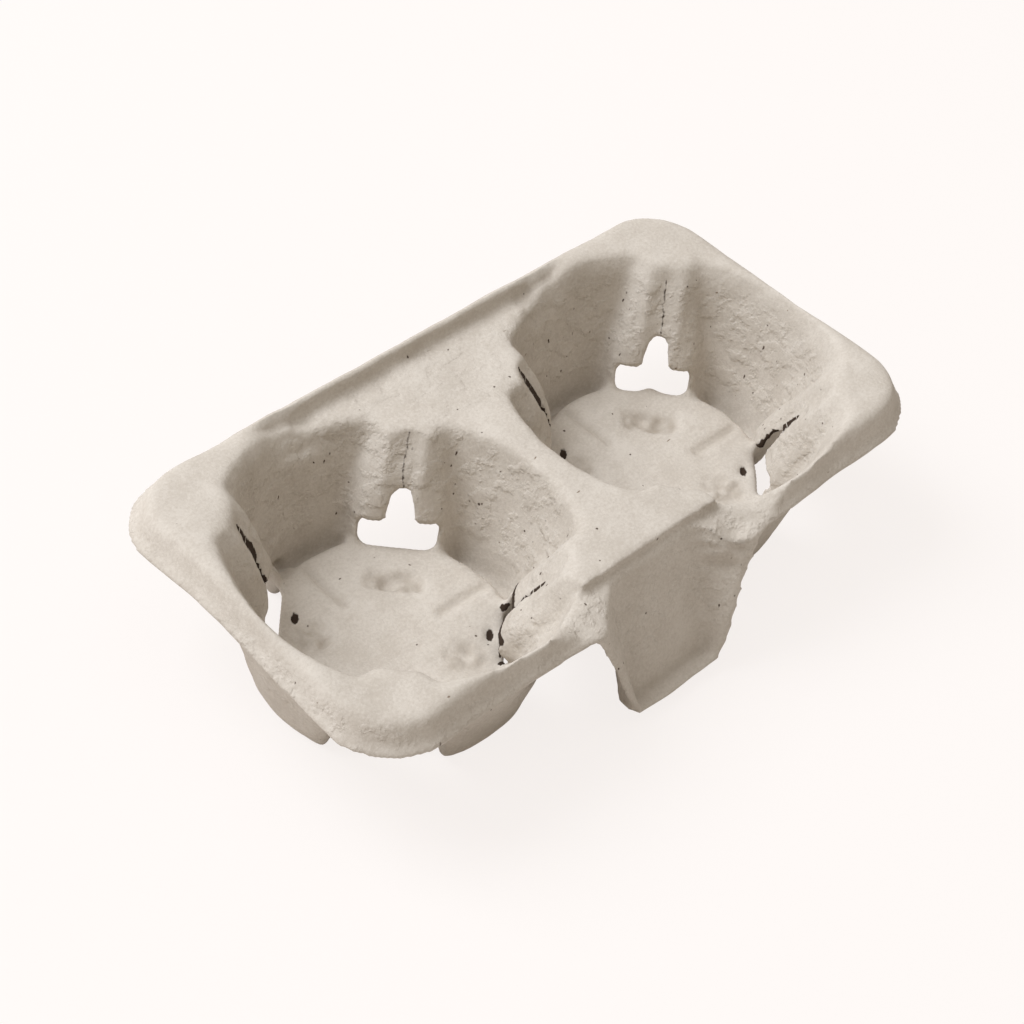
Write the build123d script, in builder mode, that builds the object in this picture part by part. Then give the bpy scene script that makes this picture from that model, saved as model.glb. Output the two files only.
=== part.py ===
# Moulded pulp carrier tray for two cups, one piece, in millimetres
import os
from math import atan2, degrees, sqrt
from build123d import *

# Driving dimensions
length = 215.0
depth = 121.0
height = 49.0
sheet = 2.0

# Rim
rim_depth = 113.0
rim_y = (depth - rim_depth) / 2
rim_corner = 23.0
skirt_drop = 9.5
skirt_run = 3.6
lip_out = 1.4
lip_thick = 1.8
rim_round = 3.4

# Pockets
pitch = 104.0
cup_y = 0.5
mouth_radius = 47.4
flare_drop = 4.5
flare_out = 2.6
base_radius = 37.6
foot_rise = 3.0
foot_inset = 1.6
floor_top = 12.0
floor_radius = 33.0
floor_slope = 4.0
floor_wall = 2.6

# Ribs at the pockets' diagonals
rib_mouth = 43.0
rib_flare = 3.5
rib_waist = 32.0
rib_waist_level = 23.5
rib_base = 25.5
rib_half_mouth = 8.0
rib_half_top = 6.5
rib_half_base = 12.8
rib_half_waist = 10.8
rib_flank = 0.55
rib_reach = 30.0
rib_bevel = 2.0

# Floor relief
pad_radius = 16.8
pad_long = 16.0
pad_wide = 8.5
pad_deep = 0.9
line_offset = 4.6
line_start = 12.5
line_long = 20.0
line_wide = 1.7
line_deep = 0.8

# Windows at the four ribs
bar_wide = 22.0
bar_tall = 7.6
stem_base = 8.4
stem_top = 4.8
stem_tall = 8.6
window_in = 24.0
window_out = 46.0
slit_wide = 1.4
slit_top = 44.5
short_slit_top = 34.5
slit_out = 48.0

# Small tears in the floor
tear_radius = 26.5
tear_long = 3.6
tear_wide = 1.8

# Saddle and hand niche
saddle_drop = 3.5
saddle_half = 40.0
saddle_back = 52.0
saddle_front = 66.0
saddle_slope = 2.0
saddle_ends = 9.0
dip_drop = 7.0
dip_half = 36.0
dip_ends = 16.0
dip_back = 41.5
dip_slope = 10.0
niche_back_top = 39.0
niche_back_base = 54.5
niche_half_back = 17.0
niche_half_front = 70.0
niche_half_base = 15.0
niche_front = 75.0
niche_rise = 3.5

skirt_low = height - skirt_drop
saddle_top = height - saddle_drop
flare_low = height - flare_drop
cut_top = height + 1
ledge_top = niche_rise + sheet
skirt_taper = degrees(atan2(skirt_run, skirt_drop))


def rib_section(level, face, half):
    """Plan of one rib at one height, with a bevelled crest and flaring outward."""
    with BuildSketch(Plane.XY.offset(level)) as section:
        with BuildLine():
            near = half + rib_flank * rib_bevel
            far = half + rib_flank * rib_reach
            crest = Polyline((face, half - rib_bevel), (face + rib_bevel, near), (face + rib_reach, far))
            mirror(crest, about=Plane.XZ)
            Line((face, half - rib_bevel), (face, rib_bevel - half))
            Line((face + rib_reach, far), (face + rib_reach, -far))
        make_face()
    return section.sketch.face()


def niche_section(level, back, half_back, half_front):
    """Plan of the hand niche at one height, flaring from its back to the front."""
    with BuildSketch(Plane.XY.offset(level)) as section:
        with BuildLine():
            side = Line((half_back, -back), (half_front, -niche_front))
            mirror(side, about=Plane.YZ)
            Line((half_back, -back), (-half_back, -back))
            Line((half_front, -niche_front), (-half_front, -niche_front))
        make_face()
    return section.sketch.face()


# Outside of the rim cap, with its rounded top edge
with BuildPart() as rim_outside:
    with BuildSketch(Plane.XY.offset(skirt_low)):
        with Locations((0, rim_y)):
            RectangleRounded(length - 2 * lip_out, rim_depth - 2 * lip_out, rim_corner - lip_out)
    extrude(amount=skirt_drop, taper=skirt_taper)
    fillet(rim_outside.faces().sort_by(Axis.Z)[-1].edges(), rim_round)

# Hollow under the rim cap
with BuildPart() as rim_hollow:
    with BuildSketch(Plane.XY.offset(skirt_low)):
        with Locations((0, rim_y)):
            inset = lip_out + sheet
            RectangleRounded(length - 2 * inset, rim_depth - 2 * inset, rim_corner - inset)
    extrude(amount=skirt_drop - sheet, taper=skirt_taper)
    chamfer(rim_hollow.faces().sort_by(Axis.Z)[-1].edges(), rim_round - sheet)

# Lip round the skirt's lower edge
with BuildPart() as rim_lip:
    with BuildSketch(Plane.XY.offset(skirt_low)):
        with Locations((0, rim_y)):
            RectangleRounded(length, rim_depth, rim_corner)
            inset = lip_out + sheet
            RectangleRounded(length - 2 * inset, rim_depth - 2 * inset, rim_corner - inset, mode=Mode.SUBTRACT)
    extrude(amount=lip_thick)

# One rib as the inside of the sheet sees it
with BuildPart() as rib:
    foot = rib_section(0, rib_base, rib_half_base)
    waist = rib_section(rib_waist_level, rib_waist, rib_half_waist)
    neck = rib_section(flare_low, rib_mouth, rib_half_mouth)
    top = rib_section(cut_top, rib_mouth + rib_flare, rib_half_top)
    loft([foot, waist, neck, top], ruled=True)

# The same rib less the sheet, as the outside sees it
rib_less = sheet * (sqrt(1 + rib_flank**2) - rib_flank)
with BuildPart() as rib_back:
    foot = rib_section(0, rib_base + sheet, rib_half_base - rib_less)
    waist = rib_section(rib_waist_level, rib_waist + sheet, rib_half_waist - rib_less)
    neck = rib_section(flare_low, rib_mouth + sheet, rib_half_mouth - rib_less)
    top = rib_section(cut_top, rib_mouth + rib_flare + sheet, rib_half_top - rib_less)
    loft([foot, waist, neck, top], ruled=True)

# Outside of one pocket, down to its four feet
with BuildPart() as pocket_outside:
    with BuildSketch(Plane.XZ):
        with BuildLine():
            Polyline(
                (0, 0),
                (base_radius - foot_inset + sheet, 0),
                (base_radius + sheet, foot_rise),
                (mouth_radius + sheet, flare_low),
                (mouth_radius + sheet, height - sheet / 2),
                (0, height - sheet / 2),
                close=True,
            )
        make_face()
    revolve(axis=Axis.Z)
    with PolarLocations(0, 4, start_angle=45):
        add(rib_back.part, mode=Mode.SUBTRACT)

# Inside of one pocket, open at the mouth
with BuildPart() as pocket_inside:
    with BuildSketch(Plane.XZ):
        with BuildLine():
            Polyline(
                (0, sheet),
                (base_radius - foot_inset, sheet),
                (base_radius, sheet + foot_rise),
                (mouth_radius, flare_low),
                (mouth_radius + flare_out, height),
                (mouth_radius + flare_out, cut_top),
                (0, cut_top),
                close=True,
            )
        make_face()
    revolve(axis=Axis.Z)
    with PolarLocations(0, 4, start_angle=45):
        add(rib.part, mode=Mode.SUBTRACT)

# Raised floor of one pocket with its pad, lines and tears
with BuildPart() as pocket_floor:
    with BuildSketch(Plane.XY.offset(sheet - 0.5)):
        Circle(floor_radius + floor_slope)
    with BuildSketch(Plane.XY.offset(floor_top)):
        Circle(floor_radius)
    loft(ruled=True)
    with BuildSketch(Plane.XY.offset(floor_top)):
        with PolarLocations(pad_radius, 1, start_angle=45):
            Rectangle(pad_wide, pad_long)
    extrude(amount=-pad_deep, mode=Mode.SUBTRACT)
    with BuildSketch(Plane.XY.offset(floor_top)):
        with Locations((-line_offset, line_start + line_long / 2)):
            Rectangle(line_wide, line_long)
        with Locations((line_start + line_long / 2, -line_offset)):
            Rectangle(line_long, line_wide)
    extrude(amount=-line_deep, mode=Mode.SUBTRACT)
    with BuildSketch(Plane.XY.offset(floor_top)):
        with PolarLocations(tear_radius, 2, start_angle=135):
            SlotOverall(tear_long, tear_wide)
    extrude(amount=-floor_top, mode=Mode.SUBTRACT)
    with PolarLocations(0, 4, start_angle=45):
        add(rib_back.part, mode=Mode.SUBTRACT)

# Recess under the raised floor
with BuildPart() as floor_under:
    with BuildSketch(Plane.XY):
        Circle(floor_radius + floor_slope - floor_wall)
    with BuildSketch(Plane.XY.offset(floor_top - sheet)):
        Circle(floor_radius + floor_slope / 4 - floor_wall)
    loft(ruled=True)

# One T-shaped window, cut outward through a rib
with BuildPart() as window:
    with BuildSketch(Plane.YZ.offset(window_in)):
        with BuildLine():
            Polyline(
                (-bar_wide / 2, floor_top),
                (bar_wide / 2, floor_top),
                (bar_wide / 2, floor_top + bar_tall),
                (stem_base / 2, floor_top + bar_tall),
                (stem_top / 2, floor_top + bar_tall + stem_tall),
                (-stem_top / 2, floor_top + bar_tall + stem_tall),
                (-stem_base / 2, floor_top + bar_tall),
                (-bar_wide / 2, floor_top + bar_tall),
                close=True,
            )
        make_face()
    extrude(amount=window_out - window_in)

# Slit above a window, most of the way up the rib
slit_low = floor_top + bar_tall
with BuildPart() as long_slit:
    with BuildSketch(Plane.YZ.offset(window_in)):
        with Locations((0, (slit_low + slit_top) / 2)):
            Rectangle(slit_wide, slit_top - slit_low)
    extrude(amount=slit_out - window_in)

# Slit that ends half way up, in each pocket's right front rib
with BuildPart() as short_slit:
    with BuildSketch(Plane.YZ.offset(window_in)):
        with Locations((0, (slit_low + short_slit_top) / 2)):
            Rectangle(slit_wide, short_slit_top - slit_low)
    extrude(amount=slit_out - window_in)

# Solid block behind the hand niche, larger than it by the sheet all round
niche_flare = (niche_half_front - niche_half_back) / (niche_front - niche_back_top)
flare_more = sheet * sqrt(1 + niche_flare**2)
with BuildPart() as niche_outside:
    base_half = niche_half_base + sheet
    base = niche_section(niche_rise, niche_back_base - sheet, base_half, base_half)
    back_half = niche_half_back + flare_more - sheet * niche_flare
    top = niche_section(height, niche_back_top - sheet, back_half, niche_half_front + flare_more)
    loft([base, top], ruled=True)

# Hand niche, open to the front
with BuildPart() as niche_inside:
    base = niche_section(ledge_top, niche_back_base, niche_half_base, niche_half_base)
    top = niche_section(cut_top, niche_back_top, niche_half_back, niche_half_front)
    loft([base, top], ruled=True)

# Front limit of the niche walls, from the skirt's edge out to the base ledge
with BuildPart() as niche_front_cut:
    with BuildSketch(Plane.YZ.offset(-length / 2)):
        with BuildLine():
            Polyline(
                (-depth / 2, -1),
                (-depth / 2, ledge_top),
                (rim_y - rim_depth / 2, skirt_low),
                (rim_y - rim_depth / 2, cut_top),
                (-niche_front - 5, cut_top),
                (-niche_front - 5, -1),
                close=True,
            )
        make_face()
    extrude(amount=length)

# Dip between the pockets, from the back rim's inner slope to the niche
with BuildPart() as saddle:
    with BuildSketch(Plane.XY.offset(saddle_top)):
        with Locations((0, (saddle_back - saddle_front) / 2)):
            Rectangle(2 * saddle_half, saddle_back + saddle_front)
    with BuildSketch(Plane.XY.offset(height + 0.5)):
        with Locations((0, (saddle_back + saddle_slope - saddle_front) / 2)):
            Rectangle(2 * (saddle_half + saddle_ends), saddle_back + saddle_slope + saddle_front)
    loft(ruled=True)

# Lower land on the front rim beside the niche
with BuildPart() as front_dip:
    with BuildSketch(Plane.XY.offset(height - dip_drop)):
        with Locations((0, -(saddle_front + dip_back) / 2)):
            Rectangle(2 * dip_half, saddle_front - dip_back)
    with BuildSketch(Plane.XY.offset(height + 0.5)):
        with Locations((0, -(saddle_front + dip_back - dip_slope) / 2)):
            Rectangle(2 * (dip_half + dip_ends), saddle_front - dip_back + dip_slope)
    loft(ruled=True)

# Hollow under the rim cap, with the sheet kept under both dips
with BuildPart() as rim_void:
    add(rim_hollow.part)
    with Locations((0, 0, -sheet)):
        add(saddle.part, mode=Mode.SUBTRACT)
        add(front_dip.part, mode=Mode.SUBTRACT)
    with BuildSketch(Plane.XY.offset(saddle_top - sheet)):
        with Locations((0, (saddle_back + 2 * sheet - niche_back_top) / 2)):
            Rectangle(2 * (saddle_half + sheet), saddle_back + 2 * sheet + niche_back_top)
    extrude(amount=saddle_drop, mode=Mode.SUBTRACT)

with BuildPart() as tray:
    add(rim_outside.part)
    add(rim_void.part, mode=Mode.SUBTRACT)
    add(rim_lip.part)
    add(niche_outside.part)
    add(niche_inside.part, mode=Mode.SUBTRACT)
    add(niche_front_cut.part, mode=Mode.SUBTRACT)
    with Locations((-pitch / 2, cup_y), (pitch / 2, cup_y)):
        add(pocket_outside.part)
        add(pocket_inside.part, mode=Mode.SUBTRACT)
    add(saddle.part, mode=Mode.SUBTRACT)
    add(front_dip.part, mode=Mode.SUBTRACT)
    with Locations((-pitch / 2, cup_y), (pitch / 2, cup_y)):
        add(pocket_floor.part)
        add(floor_under.part, mode=Mode.SUBTRACT)
        with PolarLocations(0, 4, start_angle=45):
            add(window.part, mode=Mode.SUBTRACT)
        with PolarLocations(0, 3, start_angle=45, angular_range=270):
            add(long_slit.part, mode=Mode.SUBTRACT)
        with PolarLocations(0, 1, start_angle=-45):
            add(short_slit.part, mode=Mode.SUBTRACT)

tray.part.label = "tray"
os.makedirs("parts", exist_ok=True)
export_step(tray.part, "parts/tray.step")
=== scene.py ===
"""Moulded pulp carrier tray for two cups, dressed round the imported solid."""
import logging
import math
from dataclasses import dataclass, field
from enum import Enum

import bmesh
import bpy
from mathutils import Matrix, Vector, noise


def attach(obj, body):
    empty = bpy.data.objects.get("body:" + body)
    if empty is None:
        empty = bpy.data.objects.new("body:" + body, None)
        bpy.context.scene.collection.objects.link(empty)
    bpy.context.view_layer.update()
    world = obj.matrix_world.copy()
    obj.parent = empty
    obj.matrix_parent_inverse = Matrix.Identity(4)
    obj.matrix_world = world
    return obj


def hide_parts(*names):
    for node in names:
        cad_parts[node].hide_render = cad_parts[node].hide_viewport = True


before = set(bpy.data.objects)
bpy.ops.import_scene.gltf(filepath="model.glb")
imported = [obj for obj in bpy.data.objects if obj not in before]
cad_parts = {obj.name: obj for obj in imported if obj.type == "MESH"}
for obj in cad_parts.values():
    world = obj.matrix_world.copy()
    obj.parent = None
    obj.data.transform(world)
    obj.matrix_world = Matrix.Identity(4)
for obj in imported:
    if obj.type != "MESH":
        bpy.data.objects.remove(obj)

LOG = logging.getLogger("carrier")
MM = 0.001
NOISE_SEED = 7
Socket = bpy.types.NodeSocket
Colour = tuple[float, float, float, float]
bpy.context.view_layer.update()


def smoothstep(low: float, high: float, value: float) -> float:
    """Eased step of value between low and high.

    Args:
        low: Value at which the step starts.
        high: Value at which it ends; may be under low for a falling step.
        value: Where the step is read.

    Returns:
        A share from 0 to 1.
    """
    share = min(1.0, max(0.0, (value - low) / (high - low)))
    return share * share * (3.0 - 2.0 * share)


def bell(value: float, width: float) -> float:
    """Soft bump round zero, width wide."""
    return math.exp(-(value / width) ** 2)


@dataclass(frozen=True)
class PulpFinish:
    """Matt unbleached paper fibre.

    The pale and dark tints are the two ends of its mottling.
    """

    name: str = "pulp"
    pale: Colour = (0.600, 0.548, 0.478, 1.0)
    dark: Colour = (0.500, 0.447, 0.380, 1.0)
    fleck: Colour = (0.085, 0.060, 0.045, 1.0)
    bark: Colour = (0.240, 0.185, 0.135, 1.0)
    # Near-black painted shade for the slits, the floor's tears, the crack under a lip and the
    # shaded lip.
    tear_shade: Colour = (0.045, 0.030, 0.021, 1.0)
    # A brown stain on the floor's pads, mixed with painted shade in the niche's fold, the pads and
    # the pressed lines.
    stain_and_shade: Colour = (0.350, 0.297, 0.236, 1.0)
    roughness: float = 0.93
    specular: float = 0.12


class NodeSheet:
    """Small helper that places shader nodes and joins them."""

    def __init__(self, tree: bpy.types.NodeTree) -> None:
        """Keep the tree that the nodes go into."""
        self.tree = tree
        self.column = 0

    def add(self, kind: str, **settings: object) -> bpy.types.Node:
        """Place one node.

        Args:
            kind: The node's type name.
            settings: Properties to set on it.

        Returns:
            The new node.
        """
        node = self.tree.nodes.new(kind)
        node.location = (self.column * 190, -(self.column % 4) * 140)
        self.column += 1
        for name, value in settings.items():
            setattr(node, name, value)
        return node

    def join(self, source: Socket, target: Socket) -> None:
        """Link two sockets."""
        self.tree.links.new(source, target)

    def noise(
        self, place: Socket, scale: float, detail: float = 3.0, rough: float = 0.55
    ) -> Socket:
        """Noise value at a scale per metre.

        Args:
            place: Coordinates to read it at.
            scale: Cells per metre.
            detail: Octaves.
            rough: Weight of the finer octaves.

        Returns:
            The value's socket.
        """
        node = self.add("ShaderNodeTexNoise")
        node.inputs["Scale"].default_value = scale
        node.inputs["Detail"].default_value = detail
        node.inputs["Roughness"].default_value = rough
        self.join(place, node.inputs["Vector"])
        return node.outputs["Fac"]

    def band(self, value: Socket, low: float, high: float) -> Socket:
        """Map a value's low to high range onto 0 to 1, held at the ends.

        Args:
            value: The value to map.
            low: Value that becomes 0.
            high: Value that becomes 1.

        Returns:
            The mapped value's socket.
        """
        node = self.add("ShaderNodeMapRange", interpolation_type="SMOOTHSTEP")
        node.inputs["From Min"].default_value = low
        node.inputs["From Max"].default_value = high
        self.join(value, node.inputs["Value"])
        return node.outputs["Result"]

    def math(self, operation: str, first: Socket, second: Socket | float) -> Socket:
        """One arithmetic step.

        Args:
            operation: The Math node's operation.
            first: First value.
            second: Second value, or a number.

        Returns:
            The result's socket.
        """
        node = self.add("ShaderNodeMath", operation=operation)
        self.join(first, node.inputs[0])
        if isinstance(second, float):
            node.inputs[1].default_value = second
        else:
            self.join(second, node.inputs[1])
        return node.outputs["Value"]

    def mix(self, share: Socket, first: Socket | Colour, second: Socket | Colour) -> Socket:
        """Mix two colours.

        Args:
            share: How much of the second one.
            first: Colour at 0.
            second: Colour at 1.

        Returns:
            The mixed colour's socket.
        """
        node = self.add("ShaderNodeMix", data_type="RGBA")
        self.join(share, node.inputs["Factor"])
        for index, colour in ((6, first), (7, second)):
            if isinstance(colour, tuple):
                node.inputs[index].default_value = colour
            else:
                self.join(colour, node.inputs[index])
        return node.outputs[2]

    def frayed(self, place: Socket, scale: float, reach: float) -> Socket:
        """Coordinates shaken by noise, so that spots lose their round form.

        Args:
            place: The coordinates.
            scale: Noise scale, per metre.
            reach: How far they are shaken, in metres.

        Returns:
            The shaken coordinates.
        """
        node = self.add("ShaderNodeTexNoise")
        node.inputs["Scale"].default_value = scale
        node.inputs["Detail"].default_value = 2.0
        self.join(place, node.inputs["Vector"])
        shake = self.add("ShaderNodeVectorMath", operation="MULTIPLY_ADD")
        shake.inputs[1].default_value = (reach, reach, reach)
        self.join(node.outputs["Color"], shake.inputs[0])
        self.join(place, shake.inputs[2])
        return shake.outputs["Vector"]

    def stretched(self, place: Socket, share: tuple[float, float, float]) -> Socket:
        """Coordinates drawn out along the axes whose share is under 1."""
        node = self.add("ShaderNodeVectorMath", operation="MULTIPLY")
        node.inputs[1].default_value = share
        self.join(place, node.inputs[0])
        return node.outputs["Vector"]

    def specks(self, place: Socket, scale: float, rare: float, size: float) -> Socket:
        """Sparse spots.

        Args:
            place: The coordinates.
            scale: Cells per metre.
            rare: Share of the cells that stay empty.
            size: Spot radius, in cells.

        Returns:
            A mask from 0 to 1.
        """
        node = self.add("ShaderNodeTexVoronoi", feature="F1")
        node.inputs["Scale"].default_value = scale
        self.join(place, node.inputs["Vector"])
        chosen = self.band(node.outputs["Color"], rare, rare + 0.01)
        radius = self.math("MULTIPLY", chosen, size)
        inside = self.math("SUBTRACT", radius, node.outputs["Distance"])
        return self.band(inside, -0.03, 0.04)


class PulpMaterial:
    """Procedural pulp: mottled, flecked with ink and bark, and felted."""

    def __init__(self, finish: PulpFinish) -> None:
        """Keep the finish to build."""
        self.finish = finish

    def build(self) -> bpy.types.Material:
        """Make the material.

        Returns:
            The material, ready for a piece.
        """
        material = bpy.data.materials.new(self.finish.name)
        material.use_nodes = True
        sheet = NodeSheet(material.node_tree)
        shader = material.node_tree.nodes["Principled BSDF"]
        shader.inputs["Roughness"].default_value = self.finish.roughness
        shader.inputs["Specular IOR Level"].default_value = self.finish.specular
        place = sheet.add("ShaderNodeTexCoord").outputs["Object"]
        self.colour(sheet, place, shader)
        self.relief(sheet, place, shader)
        return material

    def colour(self, sheet: NodeSheet, place: Socket, shader: bpy.types.Node) -> None:
        """Mottling, flecks, bark fibres, a stain mixed with painted shade, and painted shade in
        slits, tears and cracks.
        """
        cloud = sheet.noise(place, 70.0, 5.0, 0.65)
        grain = sheet.noise(place, 1100.0, 4.0, 0.75)
        broad = sheet.math("MULTIPLY", cloud, 0.45)
        blend = sheet.math("ADD", broad, sheet.math("MULTIPLY", grain, 0.55))
        base = sheet.mix(sheet.band(blend, 0.36, 0.64), self.finish.dark, self.finish.pale)
        frayed = sheet.frayed(place, 420.0, 0.0016)
        base = sheet.mix(sheet.specks(frayed, 260.0, 0.74, 0.085), base, self.finish.fleck)
        fibres = sheet.stretched(frayed, (0.30, 1.0, 1.0))
        base = sheet.mix(sheet.specks(fibres, 420.0, 0.86, 0.10), base, self.finish.bark)
        height = sheet.add("ShaderNodeSeparateXYZ")
        sheet.join(place, height.inputs["Vector"])
        low = sheet.band(height.outputs["Z"], 0.041, 0.037)
        low = sheet.math("MULTIPLY", low, sheet.band(height.outputs["Z"], 0.013, 0.015))
        dashes = sheet.specks(sheet.stretched(frayed, (1.0, 1.0, 0.35)), 400.0, 0.66, 0.11)
        base = sheet.mix(sheet.math("MULTIPLY", dashes, low), base, self.finish.fleck)
        # Stain mixed with painted shade: darker in the niche's fold, the floor's recessed pads and
        # the pressed lines.
        stain_and_shade = sheet.add("ShaderNodeAttribute", attribute_name="stain_and_shade")
        base = sheet.mix(stain_and_shade.outputs["Fac"], base, self.finish.stain_and_shade)
        # Painted shade: near-black in the slits, the floor's tears, the crack and along the lip.
        tear_shade = sheet.add("ShaderNodeAttribute", attribute_name="tear_shade")
        fringe = sheet.math("MULTIPLY", sheet.noise(place, 900.0), 0.5)
        ragged = sheet.math("ADD", tear_shade.outputs["Fac"], fringe)
        base = sheet.mix(sheet.band(ragged, 0.60, 0.85), base, self.finish.tear_shade)
        sheet.join(base, shader.inputs["Base Color"])

    def relief(self, sheet: NodeSheet, place: Socket, shader: bpy.types.Node) -> None:
        """Felted tooth, low lumps and the walls' flakes as bump."""
        felt = sheet.noise(place, 1500.0, 3.0, 0.65)
        lumps = sheet.noise(place, 260.0, 3.0, 0.5)
        level = sheet.add("ShaderNodeSeparateXYZ")
        sheet.join(place, level.inputs["Vector"])
        flakes = sheet.band(sheet.noise(place, 170.0, 4.0, 0.55), 0.46, 0.62)
        flakes = sheet.math("MULTIPLY", flakes, sheet.band(level.outputs["Z"], 0.047, 0.041))
        flakes = sheet.math("MULTIPLY", flakes, sheet.band(level.outputs["Z"], 0.013, 0.016))
        height = sheet.math("ADD", sheet.math("MULTIPLY", felt, 0.35), lumps)
        height = sheet.math("ADD", height, sheet.math("MULTIPLY", flakes, 0.9))
        bump = sheet.add("ShaderNodeBump")
        bump.inputs["Strength"].default_value = 0.9
        bump.inputs["Distance"].default_value = 0.00035
        sheet.join(height, bump.inputs["Height"])
        sheet.join(bump.outputs["Normal"], shader.inputs["Normal"])


class Rib(Enum):
    """The four ribs of a pocket, by the signs of their diagonal."""

    BACK = (1, 1)
    LEFT = (-1, 1)
    RIGHT = (1, -1)
    NEAR = (-1, -1)


@dataclass(frozen=True)
class RibPlace:
    """Where a point is beside its nearest rib."""

    rib: Rib
    along: float
    across: float
    out: Vector
    side: Vector

    @property
    def radius(self) -> float:
        """Distance from the pocket's middle."""
        return math.hypot(self.along, self.across)


@dataclass(frozen=True)
class Warp:
    """One soft lift of the rim round a place, in millimetres."""

    place: tuple[float, float]
    lift: float
    reach: float

    def at(self, point: Vector) -> float:
        """Lift at a point."""
        gap = math.hypot(point.x - self.place[0], point.y - self.place[1])
        return self.lift * bell(gap, self.reach)


@dataclass(frozen=True)
class Flap:
    """One torn lip over a window, bent out of its rib, in millimetres.

    The cup is -1 for the left pocket and 1 for the right one.
    """

    cup: int
    rib: Rib
    push: float
    across: float = 0.0
    reach: float = 9.0
    lift: float = 0.0


@dataclass
class Tray:
    """The moulded tray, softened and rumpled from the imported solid.

    Sizes are in millimetres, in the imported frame.
    """

    node: str = "tray"
    pitch: float = 104.0
    cup_y: float = 0.5
    floor_top: float = 12.0
    length: float = 215.0
    rim_depth: float = 113.0
    rim_y: float = 4.0
    rim_corner: float = 23.0
    skirt_low: float = 39.5
    ledge_top: float = 5.5
    lip_y: float = -60.5
    rim_front: float = -52.5
    slit_top: float = 44.5
    short_slit_top: float = 34.5
    tear_radius: float = 26.5
    line_offset: float = 4.6
    line_start: float = 12.5
    line_end: float = 32.5
    crumple_place: Vector = field(default_factory=lambda: Vector((25.0, -48.0, 38.0)))
    voxel: float = 1.12
    soften_all: int = 1
    soften_edges: int = 3
    soften_folds: int = 4
    soften_niche: int = 12
    soften_walls: int = 5
    seed: Vector = field(default_factory=lambda: Vector((3.7, 11.2, 5.9)))
    rib_near: float = 30.0
    rib_far: float = 50.0
    window_near: float = 26.0
    window_far: float = 41.0
    stem_wide: float = 4.2
    stem_taper: float = 1.8
    stem_gap: float = 0.6
    pad_radius: float = 16.8
    niche_back_y: float = -54.5
    niche_reach: float = 45.0
    edge_width: float = 3.6
    far_away: float = 100.0
    lump_high: float = 0.5
    lump_long: float = 17.0
    dent_high: float = 0.2
    dent_long: float = 6.0
    line_deep: float = 1.1
    recess_deep: float = 0.7
    recess_rough: float = 1.7
    tear_deep: float = 1.6
    tongue_long: float = 1.8
    ridge_high: float = 0.75
    recess_widen: float = 3.4
    step_push: float = 3.0
    saddle_sink: float = 1.6
    strip_sink: float = 3.8
    crumple_high: float = 3.0
    crumple_reach: float = 9.0
    crack_edge: float = 29.1
    back_share: float = 0.54
    tear_shade_share: float = 0.9
    sag_shift: Vector = field(default_factory=lambda: Vector((0.0, -1.2, -2.6)))
    crumple_shift: Vector = field(default_factory=lambda: Vector((-0.5, -0.75, 0.4)))
    spreads: dict[Rib, float] = field(
        default_factory=lambda: {Rib.BACK: -0.1, Rib.LEFT: 0.8, Rib.RIGHT: -0.2, Rib.NEAR: 0.0}
    )
    patches: tuple[tuple[float, float], ...] = ((-19.9, 10.5), (8.1, -20.5))
    flaps: tuple[Flap, ...] = (
        Flap(-1, Rib.RIGHT, -4.4, -12.0, 8.0),
        Flap(-1, Rib.LEFT, 3.4, 0.0, 13.0, 3.0),
        Flap(1, Rib.RIGHT, -2.6, 6.0, 6.0),
    )
    warps: tuple[Warp, ...] = (
        Warp((-104.0, -42.0), -3.4, 34.0),
        Warp((-107.0, 18.0), 2.6, 26.0),
        Warp((102.0, -46.0), 2.0, 34.0),
    )

    def build(self, material: bpy.types.Material) -> bpy.types.Object:
        """Make the piece and dress it.

        Args:
            material: The pulp.

        Returns:
            The finished piece.
        """
        piece = self.remeshed()
        mesh = bmesh.new()
        mesh.from_mesh(piece.data)
        self.soften(mesh)
        self.mark_shade_and_stain(mesh)
        self.rumple(mesh)
        for face in mesh.faces:
            face.smooth = True
        mesh.to_mesh(piece.data)
        mesh.free()
        piece.data.materials.clear()
        piece.data.materials.append(material)
        return piece

    def remeshed(self) -> bpy.types.Object:
        """Copy the solid onto an even mesh, fine enough to bend.

        Returns:
            The new object, linked to the scene.
        """
        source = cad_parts[self.node]
        mesh = bmesh.new()
        mesh.from_mesh(source.data)
        bmesh.ops.remove_doubles(mesh, verts=mesh.verts, dist=1e-6)
        data = bpy.data.meshes.new("tray_pulp")
        mesh.to_mesh(data)
        mesh.free()
        piece = bpy.data.objects.new("tray_pulp", data)
        bpy.context.scene.collection.objects.link(piece)
        even = piece.modifiers.new("even", "REMESH")
        even.mode = "VOXEL"
        even.voxel_size = self.voxel * MM
        even.adaptivity = 0.0
        graph = bpy.context.evaluated_depsgraph_get()
        piece.data = bpy.data.meshes.new_from_object(piece.evaluated_get(graph))
        piece.modifiers.clear()
        piece.data.name = "tray_pulp"
        return piece

    def rib_place(self, point: Vector) -> RibPlace:
        """Find a point's place beside its nearest rib.

        Args:
            point: In millimetres.

        Returns:
            The rib, with the distances out along its line and across it.
        """
        gap_x, gap_y = self.pocket_gap(point)
        rib = Rib((1 if gap_x > 0 else -1, 1 if gap_y > 0 else -1))
        out = Vector((rib.value[0], rib.value[1], 0.0)) / math.sqrt(2)
        side = Vector((rib.value[0], -rib.value[1], 0.0)) / math.sqrt(2)
        flat = Vector((gap_x, gap_y, 0.0))
        return RibPlace(rib, flat.dot(out), flat.dot(side), out, side)

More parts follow.
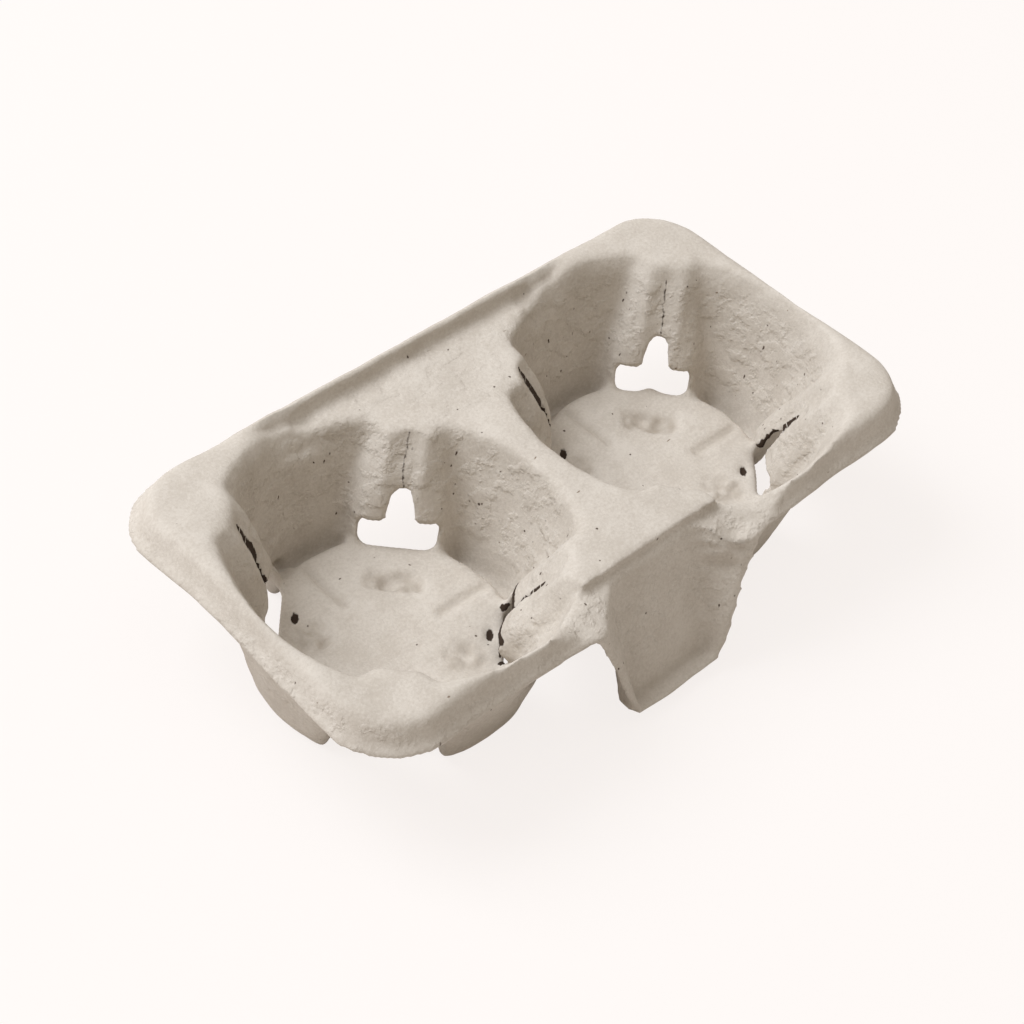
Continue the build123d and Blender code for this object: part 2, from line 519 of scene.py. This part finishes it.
    def rim_distance(self, point: Vector) -> float:
        """Distance outside the rim's outline, negative within it."""
        out_x = abs(point.x) - (self.length / 2 - self.rim_corner)
        out_y = abs(point.y - self.rim_y) - (self.rim_depth / 2 - self.rim_corner)
        corner = math.hypot(max(out_x, 0.0), max(out_y, 0.0))
        return corner + min(max(out_x, out_y), 0.0) - self.rim_corner

    def niche_front(self, height: float) -> float:
        """The front edge of the niche's walls at a height."""
        share = (height - self.ledge_top) / (self.skirt_low - self.ledge_top)
        return self.lip_y + (self.rim_front - self.lip_y) * min(1.0, max(0.0, share))

    def is_crisp(self, point: Vector) -> bool:
        """Whether a point is on a cut edge, the rim's crest or a sharp fold."""
        if self.rim_distance(point) > -9.0 and point.z > self.skirt_low + 3.0:
            return True
        front_step = -46.0 < point.y < -32.0
        back_step = point.y > 47.0
        if abs(point.x) < 52.0 and point.z > self.skirt_low and (front_step or back_step):
            return True
        if abs(point.x) < 20.0 and point.y < -48.0 and point.z < self.ledge_top + 8.0:
            return True
        return self.is_cut_edge(point)

    def is_cut_edge(self, point: Vector) -> bool:
        """Whether a point is near a cut or free edge, which stays crisp."""
        place = self.rib_place(point)
        side = abs(place.across)
        low = self.floor_top
        if self.tear_distance(place) < 4.0 and point.z < low + 1.5:
            return True
        if self.window_near < place.along < self.rib_far:
            if side < 12.6 and low - 2.0 < point.z < low + 9.4:
                return True
            if side < 6.0 and low + 6.0 < point.z < low + 18.5:
                return True
            if side < 2.6 and low + 14.0 < point.z < self.slit_top + 2.0:
                return True
        return self.is_free_edge(point)

    def is_free_edge(self, point: Vector) -> bool:
        """Whether a point is near the lip or the free edge of the niche's walls."""
        level = self.skirt_low - 1.0 < point.z < self.skirt_low + 3.4
        if level and self.rim_distance(point) > -5.0:
            return True
        return self.is_niche_edge(point)

    def is_niche_edge(self, point: Vector) -> bool:
        """Whether a point is near the free edge of the niche's walls."""
        if abs(point.x) >= self.niche_reach or point.z >= self.skirt_low + 1.0:
            return False
        return point.y < self.niche_front(point.z) + self.edge_width

    def tear_distance(self, place: RibPlace) -> float:
        """Distance from the nearest small tear in a pocket's floor."""
        if place.rib not in (Rib.LEFT, Rib.RIGHT):
            return self.far_away
        return math.hypot(place.along - self.tear_radius, 0.5 * place.across)

    def soften(self, mesh: bmesh.types.BMesh) -> None:
        """Round the folds as pressed pulp is, and leave the cut edges."""
        everything = list(mesh.verts)
        for vert in everything:
            self.snap_front(vert)
        self.smooth(mesh, everything, 1)
        uncut = [vert for vert in everything if not self.is_cut_edge(vert.co / MM)]
        self.smooth(mesh, uncut, self.soften_all)
        edges = [vert for vert in everything if self.is_free_edge(vert.co / MM)]
        self.smooth(mesh, edges, self.soften_edges)
        niche = [vert for vert in edges if self.is_niche_edge(vert.co / MM)]
        self.smooth(mesh, niche, self.soften_niche)
        folds = [vert for vert in everything if not self.is_crisp(vert.co / MM)]
        self.smooth(mesh, folds, self.soften_folds)
        walls = [vert for vert in folds if self.is_wall(vert.co / MM)]
        self.smooth(mesh, walls, self.soften_walls)

    def snap_front(self, vert: bmesh.types.BMVert) -> None:
        """Bring a vertex of the niche walls' free edge onto the edge's plane."""
        point = vert.co / MM
        front = self.niche_front(point.z)
        if abs(point.x) >= self.niche_reach or point.z >= self.skirt_low - 0.5:
            return
        if abs(point.y - front) < self.voxel:
            vert.co.y = front * MM

    def is_wall(self, point: Vector) -> bool:
        """Whether a point is on a pocket's wall, mouth or floor fold, which is softest."""
        radius = self.rib_place(point).radius
        if point.z < self.floor_top + 3.0:
            return radius > 30.5 and point.z > 1.0
        return radius < 49.5

    @staticmethod
    def smooth(mesh: bmesh.types.BMesh, verts: list[bmesh.types.BMVert], passes: int) -> None:
        """Relax vertices a number of times."""
        for _ in range(passes):
            bmesh.ops.smooth_vert(
                mesh, verts=verts, factor=0.5, use_axis_x=True, use_axis_y=True, use_axis_z=True
            )

    def rumple(self, mesh: bmesh.types.BMesh) -> None:
        """Move both faces of the sheet, mostly alike, by warp, lumps and wrinkles."""
        for vert in mesh.verts:
            point = vert.co / MM
            place = self.rib_place(point)
            shift = self.warp(point) + self.sag(point) + self.niche_rumple(point)
            shift += self.lump_high * noise.noise_vector(point / self.lump_long + self.seed)
            shift += self.dent_high * noise.noise_vector(point / self.dent_long + self.seed)
            shift += self.floor_relief(point, place)
            shift += self.ridges(point, place)
            shift += self.slit_edges(point, place)
            shift += self.bent_lip(point, place) + self.shut_stem(point, place)
            shift += self.saddle_steps(point) + self.wide_recess(point, place)
            moved = point + shift
            moved.z = max(0.0, moved.z)
            vert.co = moved * MM

    def warp(self, point: Vector) -> Vector:
        """Twist of the soft rim, none at the feet."""
        lift = sum(warp.at(point) for warp in self.warps)
        rise = smoothstep(self.floor_top + 4.0, self.skirt_low, point.z)
        return Vector((0.0, 0.0, lift * rise))

    def sag(self, point: Vector) -> Vector:
        """Droop and bulge of the front rim beside the niche."""
        weight = bell(point.x, 46.0) * smoothstep(-42.0, -51.0, point.y)
        weight *= smoothstep(self.skirt_low - 12.0, self.skirt_low - 1.0, point.z)
        return self.sag_shift * weight

    def niche_rumple(self, point: Vector) -> Vector:
        """Crumples at the top of the niche's right wall."""
        weight = bell((point - self.crumple_place).length, self.crumple_reach)
        weight *= smoothstep(0.0, 3.0, point.y - self.niche_front(point.z))
        grid = Vector((point.x / 14.0, point.y / 14.0, point.z / 4.2))
        fold = 0.5 - 2.2 * abs(noise.noise(grid + self.seed))
        return self.crumple_shift * (self.crumple_high * weight * fold)

    def floor_relief(self, point: Vector, place: RibPlace) -> Vector:
        """Pressed lines, and crumpled recesses beside the windows."""
        if point.z > self.floor_top + 2.5 or place.radius > 33.0:
            return Vector((0.0, 0.0, 0.0))
        recess = self.recess(point, place)
        sink = self.line_deep * self.floor_lines(point) + self.recess_deep * recess
        sink += self.tear_deep * bell(self.tear_distance(place), 1.0)
        rough = self.recess_rough * recess * noise.noise(point / 2.9 + self.seed)
        crumple = Vector((0.0, 0.0, rough - sink))
        if place.rib is Rib.BACK and point.x > 0.0:
            reach = bell(place.across, 2.6) * smoothstep(24.0, 28.0, place.along)
            crumple += place.out * (self.tongue_long * reach)
        return crumple

    def pocket_gap(self, point: Vector) -> tuple[float, float]:
        """Distances from the middle of the nearest pocket.

        Args:
            point: In millimetres.

        Returns:
            The distances along X and Y.
        """
        return point.x - math.copysign(self.pitch / 2, point.x), point.y - self.cup_y

    def recess(self, point: Vector, place: RibPlace) -> float:
        """How far into a crumpled recess of the floor a point is, from 0 to 1."""
        gap_x, gap_y = self.pocket_gap(point)
        depth = smoothstep(4.5, 2.5, abs(place.along - self.pad_radius))
        depth *= smoothstep(9.0, 6.5, abs(place.across))
        share = depth if place.rib is Rib.BACK else 0.0
        for patch in self.patches:
            gap = math.hypot(gap_x - patch[0], gap_y - patch[1])
            share = max(share, smoothstep(7.5, 3.0, gap))
        return share

    def floor_lines(self, point: Vector) -> float:
        """Share of a pressed line's depth at a point of the floor."""
        gap_x, gap_y = self.pocket_gap(point)
        first = self.line(gap_x + self.line_offset, gap_y)
        return first + self.line(gap_y + self.line_offset, gap_x)

    def line(self, across: float, along: float) -> float:
        """Share of one pressed line's depth."""
        ends = smoothstep(self.line_start - 1.0, self.line_start + 1.0, along)
        return bell(across, 1.3) * ends * smoothstep(self.line_end, self.line_end - 2.0, along)

    def ridges(self, point: Vector, place: RibPlace) -> Vector:
        """Upright ridges that flank each slit, with a furrow between."""
        if not self.rib_near < place.along < self.rib_far:
            return Vector((0.0, 0.0, 0.0))
        above = point.z - self.floor_top
        rise = smoothstep(11.5, 19.5, above) * smoothstep(36.0, 31.5, above)
        ridge = bell(abs(place.across) - 5.2, 1.9) - 0.7 * bell(place.across, 2.2)
        return place.out * (-self.ridge_high * rise * ridge)

    def slit_end(self, rib: Rib) -> float:
        """Height at which a rib's slit ends."""
        return self.short_slit_top if rib is Rib.RIGHT else self.slit_top

    def slit_edges(self, point: Vector, place: RibPlace) -> Vector:
        """Ragged slit: wide at the left, nearly shut at the other ribs."""
        if not self.rib_near < place.along < self.rib_far or abs(place.across) > 3.2:
            return Vector((0.0, 0.0, 0.0))
        top = self.slit_end(place.rib)
        rise = smoothstep(self.floor_top + 11.5, self.floor_top + 15.5, point.z)
        rise *= smoothstep(top + 1.0, top - 4.0, point.z)
        fade = smoothstep(3.2, 1.4, abs(place.across))
        spread = self.spreads[place.rib]
        wander = 0.55 * noise.noise(Vector((point.z / 3.1, point.x / 40.0, 2.0)) + self.seed)
        tooth = 0.45 * noise.noise(point / 1.7 + self.seed)
        return place.side * (rise * fade * (math.copysign(spread + tooth, place.across) + wander))

    def bent_lip(self, point: Vector, place: RibPlace) -> Vector:
        """Push of a torn lip in or out of its rib."""
        above = point.z - self.floor_top
        shift = Vector((0.0, 0.0, 0.0))
        if place.along < 25.0 or not 2.0 < above < 26.0:
            return shift
        rise = smoothstep(2.5, 6.5, above) * smoothstep(26.0, 12.0, above)
        for flap in self.flaps:
            if flap.rib is place.rib and flap.cup * point.x > 0.0:
                weight = rise * bell(place.across - flap.across, flap.reach)
                weight *= smoothstep(48.0, 38.0, place.along)
                shift += weight * (flap.push * place.out + Vector((0.0, 0.0, flap.lift)))
        return shift

    def stem_half(self, above: float) -> float:
        """Half width of a window's upright at a height over the floor."""
        return self.stem_wide - self.stem_taper * smoothstep(7.6, 16.2, above)

    def is_side_window(self, place: RibPlace) -> bool:
        """Whether a place is in reach of the window of a left or right rib."""
        side = place.rib in (Rib.LEFT, Rib.RIGHT)
        return side and self.window_near < place.along < self.window_far

    def shut_stem(self, point: Vector, place: RibPlace) -> Vector:
        """Close the upright of a side rib's window to a torn slit."""
        above = point.z - self.floor_top
        if not self.is_side_window(place) or not 5.0 < above < 20.0:
            return Vector((0.0, 0.0, 0.0))
        rise = smoothstep(6.6, 8.6, above) * smoothstep(18.0, 16.0, above)
        fade = smoothstep(12.0, 4.0, abs(place.across))
        close = self.stem_half(above) - self.stem_gap
        return place.side * math.copysign(close * rise * fade, -place.across)

    def wide_recess(self, point: Vector, place: RibPlace) -> Vector:
        """Widen the outside recess behind the left pocket's left window."""
        above = point.z - self.floor_top
        if place.rib is not Rib.LEFT or point.x > 0.0 or above > 1.0:
            return Vector((0.0, 0.0, 0.0))
        weight = smoothstep(-9.0, -12.0, place.across) * smoothstep(-25.0, -18.0, place.across)
        weight *= smoothstep(26.0, 30.0, place.along) * smoothstep(-0.5, -3.5, above)
        return place.side * (-self.recess_widen * weight)

    def saddle_steps(self, point: Vector) -> Vector:
        """Steepen the saddle's steps, and lower the strip behind each pocket."""
        wide = abs(point.x)
        span = smoothstep(54.0, 44.0, wide)
        rise = smoothstep(self.skirt_low + 2.0, self.skirt_low + 6.0, point.z)
        step = -self.step_push * span * rise * bell(point.y + 36.0, 4.0)
        sink = smoothstep(50.0, 40.0, wide) * smoothstep(8.0, 36.0, point.y)
        sink *= smoothstep(54.5, 52.0, point.y)
        drop = self.saddle_sink * sink
        drop *= smoothstep(self.skirt_low - 6.0, self.skirt_low + 4.0, point.z)
        strip = smoothstep(62.0, 52.0, wide) * smoothstep(37.0, 47.0, wide)
        strip *= smoothstep(40.0, 46.5, point.y) * smoothstep(54.5, 52.5, point.y)
        strip *= smoothstep(self.skirt_low - 4.0, self.skirt_low + 6.0, point.z)
        drop += self.strip_sink * strip
        return Vector((0.0, step, -drop))

    def niche_fold_shade(self, point: Vector) -> float:
        """Share of painted shade in the fold over the niche's ledge."""
        gap = math.hypot(point.y - self.niche_back_y, point.z - self.ledge_top)
        return bell(gap, 1.8) * smoothstep(18.0, 14.0, abs(point.x))

    @staticmethod
    def is_torn_lip(point: Vector, place: RibPlace, above: float) -> bool:
        """Whether a point is on the torn lip of the left pocket's right front rib."""
        if place.rib is not Rib.RIGHT or point.x > 0.0:
            return False
        return 5.5 < above < 10.0 and abs(place.across) < 11.5 and 26.0 < place.along < 37.0

    def crack_shadow(self, point: Vector, place: RibPlace) -> float:
        """Share of painted shadow on the floor under the left pocket's right lip."""
        if place.rib is not Rib.RIGHT or point.x > 0.0 or abs(place.across) > 11.0:
            return 0.0
        edge = self.crack_edge + 1.2 * noise.noise(point / 2.3 + self.seed)
        start = smoothstep(edge - 0.5, edge + 0.5, place.along)
        return start * smoothstep(33.0, 32.0, place.along)

    def is_stem_edge(self, place: RibPlace, above: float) -> bool:
        """Whether a point is at the torn upright of a side rib's window."""
        if not self.is_side_window(place) or not 7.4 < above < 16.8:
            return False
        return abs(place.across) < self.stem_half(above) + 0.7

    def slit_shade(self, point: Vector, place: RibPlace, above: float) -> float:
        """Share of painted shade along a slit, faint at the back ribs."""
        top = self.slit_end(place.rib)
        back = place.rib is Rib.BACK
        share = self.back_share if back else 1.0
        weight = share * smoothstep(13.5, 16.5, above) * smoothstep(top + 1.5, top - 0.5, point.z)
        taper = 0.55 + 0.65 * smoothstep(top + 2.0, top - 14.0, point.z)
        return weight * bell(place.across, 0.7 if back else taper)

    def mark_shade_and_stain(self, mesh: bmesh.types.BMesh) -> None:
        """Write each vertex's painted shade for slits, tears, the crack and the lip, and its stain
        with painted shade, for the material.
        """
        tear_shade = mesh.verts.layers.float.new("tear_shade")
        stain_and_shade = mesh.verts.layers.float.new("stain_and_shade")
        mesh.normal_update()
        for vert in mesh.verts:
            point = vert.co / MM
            place = self.rib_place(point)
            above = point.z - self.floor_top
            weight = 0.0
            hidden = vert.normal.dot(place.out) > 0.4 or vert.normal.z < -0.5
            # Painted shade in the fold over the niche's ledge.
            vert[stain_and_shade] = 0.5 * self.niche_fold_shade(point)
            # Painted shade along the slits, at the shut uprights of the side windows and on the lip
            # over the left pocket's right window.
            if self.window_near < place.along < self.rib_far and above > 16.0:
                weight = self.slit_shade(point, place, above)
            elif self.is_stem_edge(place, above):
                weight = self.tear_shade_share
            elif not hidden and self.is_torn_lip(point, place, above):
                weight = self.tear_shade_share
            elif above < 1.5:
                # Near-black painted shade in the floor's small tears, and painted shadow on the
                # floor past the crack's edge.
                crack_shadow = 0.0 if hidden else self.crack_shadow(point, place)
                weight = min(1.0, 1.35 * bell(self.tear_distance(place), 1.0) + crack_shadow)
                mottle = 0.6 + 1.0 * noise.noise(point / 2.4 + self.seed)
                # The pads' brown stain, with painted shade in their recess; painted shade in the
                # pressed lines.
                pad_stain_and_shade = 0.55 * mottle * self.recess(point, place)
                vert[stain_and_shade] += pad_stain_and_shade + 0.3 * self.floor_lines(point)
            vert[tear_shade] = weight


@dataclass(frozen=True)
class Lamp:
    """One soft studio lamp aimed at the tray."""

    name: str
    place: tuple[float, float, float]
    size: float
    watts: float
    tint: tuple[float, float, float] = (0.958, 1.003, 1.09)

    def build(self, target: Vector) -> bpy.types.Object:
        """Make the lamp.

        Args:
            target: The point that it faces.

        Returns:
            The lamp's object.
        """
        data = bpy.data.lights.new(self.name, "AREA")
        data.size = self.size
        data.energy = self.watts
        data.color = self.tint
        lamp = bpy.data.objects.new(self.name, data)
        lamp.location = self.place
        lamp.rotation_euler = (target - Vector(self.place)).to_track_quat("-Z", "Y").to_euler()
        bpy.context.scene.collection.objects.link(lamp)
        return lamp


@dataclass
class Studio:
    """Pale floor, soft lamps and the camera.

    Angles are in degrees and places in metres.
    """

    azimuth: float = -51.965
    elevation: float = 44.824
    roll: float = 10.296
    target: Vector = field(default_factory=lambda: Vector((-0.008798, 0.00103, 0.0285)))
    distance: float = 0.727627
    lens: float = 93.28
    floor_colour: Colour = (0.84, 0.80, 0.77, 1.0)
    backdrop: Colour = (1.0, 0.956, 0.930, 1.0)
    backdrop_share: float = 0.86
    world_colour: Colour = (1.0, 0.908, 0.800, 1.0)
    world_strength: float = 0.42
    lamps: tuple[Lamp, ...] = (
        Lamp("key", (-1.10, 1.58, 2.31), 1.8, 91.0),
        Lamp("top", (0.0, 0.0, 1.40), 1.2, 3.5),
    )

    def build(self) -> None:
        """Make everything round the tray."""
        self.floor()
        self.light()
        self.camera()
        scene = bpy.context.scene
        scene.view_settings.view_transform = "Standard"

    def floor(self) -> None:
        """One broad pale sheet under the tray."""
        mesh = bmesh.new()
        bmesh.ops.create_grid(mesh, x_segments=1, y_segments=1, size=6.0)
        data = bpy.data.meshes.new("floor")
        mesh.to_mesh(data)
        mesh.free()
        floor = bpy.data.objects.new("floor", data)
        bpy.context.scene.collection.objects.link(floor)
        material = bpy.data.materials.new("floor_paper")
        material.use_nodes = True
        sheet = NodeSheet(material.node_tree)
        shader = material.node_tree.nodes["Principled BSDF"]
        shader.inputs["Base Color"].default_value = self.floor_colour
        shader.inputs["Roughness"].default_value = 1.0
        shader.inputs["Specular IOR Level"].default_value = 0.0
        glow = sheet.add("ShaderNodeEmission")
        glow.inputs["Color"].default_value = self.backdrop
        glow.inputs["Strength"].default_value = 1.0
        seen = sheet.add("ShaderNodeLightPath")
        direct = sheet.math("MAXIMUM", seen.outputs["Is Camera Ray"], seen.outputs["Is Glossy Ray"])
        direct = sheet.math("MAXIMUM", direct, seen.outputs["Is Transmission Ray"])
        blend = sheet.add("ShaderNodeMixShader")
        sheet.join(sheet.math("MULTIPLY", direct, self.backdrop_share), blend.inputs["Fac"])
        sheet.join(shader.outputs["BSDF"], blend.inputs[1])
        sheet.join(glow.outputs["Emission"], blend.inputs[2])
        output = material.node_tree.nodes["Material Output"]
        sheet.join(blend.outputs["Shader"], output.inputs["Surface"])
        data.materials.append(material)

    def light(self) -> None:
        """The lamps and an even world."""
        for lamp in self.lamps:
            lamp.build(self.target)
        world = bpy.data.worlds.new("studio")
        world.use_nodes = True
        background = world.node_tree.nodes["Background"]
        background.inputs["Color"].default_value = self.world_colour
        background.inputs["Strength"].default_value = self.world_strength
        bpy.context.scene.world = world

    def camera(self) -> None:
        """The camera at the photograph's angle."""
        azimuth = math.radians(self.azimuth)
        elevation = math.radians(self.elevation)
        back = Vector((
            math.sin(azimuth) * math.cos(elevation),
            -math.cos(azimuth) * math.cos(elevation),
            math.sin(elevation),
        ))
        right = (-back).cross(Vector((0.0, 0.0, 1.0))).normalized()
        turn = Matrix.Rotation(math.radians(self.roll), 3, back)
        right = turn @ right
        up = back.cross(right)
        data = bpy.data.cameras.new("camera")
        data.sensor_fit = "HORIZONTAL"
        data.sensor_width = 36.0
        data.lens = self.lens
        data.clip_start = 0.01
        data.clip_end = 20.0
        camera = bpy.data.objects.new("camera", data)
        camera.matrix_world = Matrix.Translation(self.target + back * self.distance) @ Matrix(
            (right, up, back)
        ).transposed().to_4x4()
        bpy.context.scene.collection.objects.link(camera)
        bpy.context.scene.camera = camera


def main() -> None:
    """Build the tray and the studio, and report each piece."""
    logging.basicConfig(level=logging.INFO)
    noise.seed_set(NOISE_SEED)
    tray = Tray()
    piece = tray.build(PulpMaterial(PulpFinish()).build())
    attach(piece, "root")
    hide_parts(tray.node)
    LOG.info("%s: %d faces", piece.name, len(piece.data.polygons))
    Studio().build()


if __name__ == "__main__":
    main()
